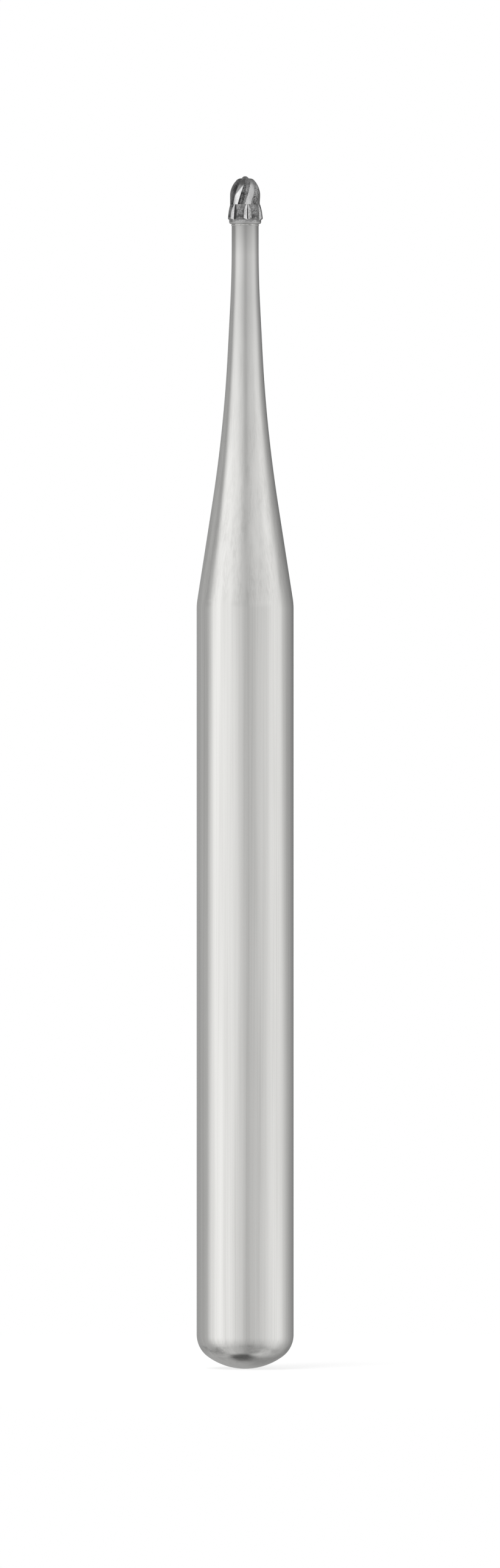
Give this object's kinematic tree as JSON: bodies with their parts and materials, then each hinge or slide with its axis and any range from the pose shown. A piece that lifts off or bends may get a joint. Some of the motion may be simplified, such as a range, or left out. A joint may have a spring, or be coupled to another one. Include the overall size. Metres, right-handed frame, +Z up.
{
  "type": "carbide burr",
  "caption": "Friction-grip rotary burr: domed steel shank, long tapered neck and a small dark carbide head with helical blades above a lugged collar.",
  "frame": {"origin": "lowest point of the domed shank end, on the axis", "axes": "+Z up the axis from the shank end to the cutting tip; +X to the right in the picture; -Y towards the camera"},
  "size_m": [0.0016, 0.0016, 0.0197],
  "materials": {
    "shank_steel": "satin",
    "braze_metal": "mottled satin",
    "carbide": "ground, dark grey"
  },
  "bodies": {
    "root": {"shank": "shank_steel", "braze_joint": "braze_metal", "cutting_head": "carbide"}
  },
  "joints": []
}
